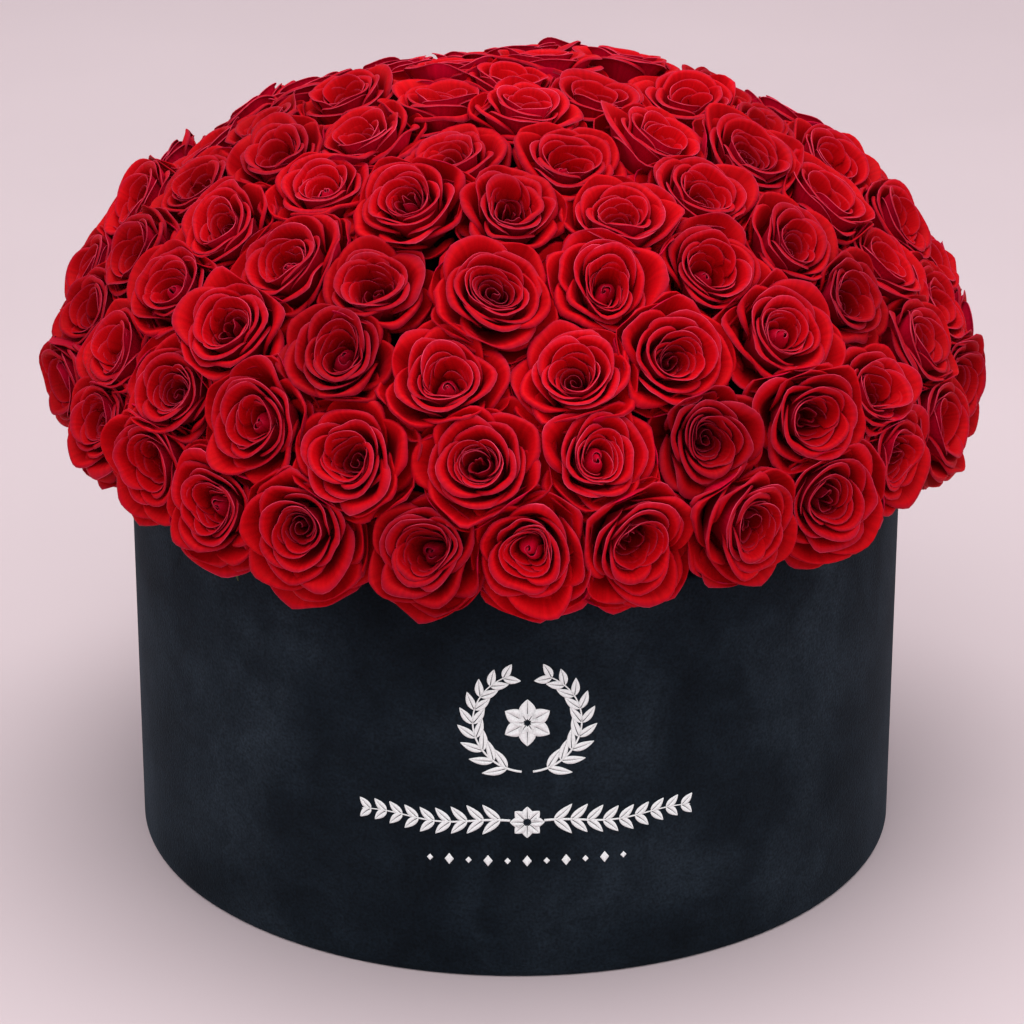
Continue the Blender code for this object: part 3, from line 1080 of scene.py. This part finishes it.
def print_sheet(sheets, along, height):
    """A patch of print, wrapped on the wall from grids of distances and heights."""
    bearing = along / BOX_RADIUS
    radius = BOX_RADIUS + 0.0001
    middle = np.stack([radius * np.sin(bearing), -radius * np.cos(bearing), height], axis=2)
    sheets.add(*closed_sheet(middle, PRINT_THICKNESS))


def stroke(sheets, path, widths):
    """A line of print that follows a path of (distance, height) points."""
    path = np.asarray(path, float)
    forward = np.gradient(path, axis=0)
    forward /= np.linalg.norm(forward, axis=1, keepdims=True)
    across = np.stack([-forward[:, 1], forward[:, 0]], axis=1)
    side = np.linspace(-0.5, 0.5, 3)
    reach = np.asarray(widths, float)[:, None, None] * side[None, :, None]
    grid = path[:, None] + across[:, None] * reach
    print_sheet(sheets, grid[:, :, 0], grid[:, :, 1])


def leaf(sheets, root, angle, length, width, bend=0.18):
    """A pointed leaf with an open midrib: two curved halves side by side."""
    v = np.linspace(0, 1, 12)
    forward = np.array([math.cos(angle), math.sin(angle)])
    left = np.array([-forward[1], forward[0]])
    bow = bend * length * v * (1 - v)
    spine = np.asarray(root) + np.outer(v * length, forward) + np.outer(bow, left)
    half = width / 2 * np.sin(np.pi * v**0.8) ** 0.9 + 0.00006
    rib = 0.00022 * (1 - v) + 0.00002
    for way in (-1, 1):
        reach = np.stack([rib, (rib + half) / 2, half + rib], axis=1) * way
        grid = spine[:, None] + left[None, None, :] * reach[:, :, None]
        print_sheet(sheets, grid[:, :, 0], grid[:, :, 1])


def diamond(sheets, middle, wide, tall):
    v = np.linspace(-1, 1, 9)
    path = np.stack([np.full(v.size, middle[0]), middle[1] + v * tall / 2], axis=1)
    stroke(sheets, path, wide * (1 - np.abs(v)) + 0.00008)


def wreath(sheets, middle, radius):
    """Two leafy twigs that meet at the bottom and leave a gap at the top."""
    middle = np.array(middle)
    for way in (-1, 1):
        turn = np.radians(np.linspace(-84, 66, 40))
        path = middle + radius * np.stack([way * np.cos(turn), np.sin(turn)], axis=1)
        stroke(sheets, path, np.linspace(0.0011, 0.0005, 40))
        for i in range(LEAF_PAIRS):
            turn = math.radians(-68 + 16.5 * i)
            root = middle + radius * np.array([way * math.cos(turn), math.sin(turn)])
            heading = turn + math.pi / 2 if way > 0 else math.pi / 2 - turn
            size = 0.0125 - 0.0005 * i
            for lean in (-0.62, 0.62):
                leaf(sheets, root, heading + lean, size, LEAF_WIDTH, 0.12 * math.copysign(1, lean))


def blossom(sheets, middle, radius, petals, turn=0.0):
    """Open petals around a ring."""
    for i in range(petals):
        angle = turn + math.tau * i / petals
        root = np.array(middle) + 0.22 * radius * np.array([math.cos(angle), math.sin(angle)])
        leaf(sheets, root, angle, 0.78 * radius, 0.62 * radius, 0.0)


def garland(sheets, middle, half_length):
    """A level vine: leaf pairs that point outward from a blossom in the middle."""
    for way in (-1, 1):
        v = np.linspace(0.10, 1, 40)
        path = np.stack([middle[0] + way * half_length * v, middle[1] + 0.0012 * np.sin(v * 9)], axis=1)
        stroke(sheets, path, 0.0009 * (1 - v) + 0.0004)
        for i in range(LEAF_PAIRS):
            share = 0.16 + 0.098 * i
            root = (middle[0] + way * half_length * share, middle[1] + 0.0012 * math.sin(share * 9))
            size = 0.0118 - 0.0005 * i
            for lean in (-0.75, 0.75):
                heading = lean if way > 0 else math.pi - lean
                bend = -0.15 * way * math.copysign(1, lean)
                leaf(sheets, root, heading, size, LEAF_WIDTH, bend)
    blossom(sheets, middle, 0.0085, 8)


def build_ornament():
    sheets = Sheets()
    middle = (PRINT_MIDDLE, WREATH_HEIGHT)
    wreath(sheets, middle, 0.0265)
    blossom(sheets, middle, 0.0125, 6, math.pi / 2)
    blossom(sheets, middle, 0.0070, 6, math.pi / 3)
    garland(sheets, (PRINT_MIDDLE, GARLAND_HEIGHT), 0.083)
    for i in range(-5, 6):
        wide, tall = (0.0030, 0.0034) if i % 2 else (0.0044, 0.0060)
        diamond(sheets, (PRINT_MIDDLE + 0.0096 * i, DIAMOND_HEIGHT), wide, tall)
    ornament = sheets.build("front_ornament", print_material())
    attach(ornament, "box")


def build_box():
    velvet = velvet_material()
    wrap = turned_piece("velvet_skin", velvet_profile(), velvet)
    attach(wrap, "box")
    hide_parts("velvet_wrap")
    set_material("base_cover", velvet)
    set_material("box_wall", board_material())
    set_material("base_board", board_material())
    set_material("inner_lining", paper_material())
    set_material("liner_tub", film_material())
    foam = foam_material("wet_foam_cells", (0.003, 0.010, 0.005), (0.007, 0.022, 0.010))
    set_material("foam_crown", foam)
    filler = foam_material("dry_filler_cells", (0.42, 0.43, 0.40), (0.60, 0.60, 0.56))
    for i in (1, 2, 3):
        set_material(f"filler_brick_{i}", filler)


def set_material(node, material):
    thing = frame["nodes"][node]
    thing.data.materials.clear()
    thing.data.materials.append(material)


def main():
    set_colour_management()
    add_camera()
    add_lights()
    add_stage()
    build_box()
    build_ornament()
    build_roses()


main()
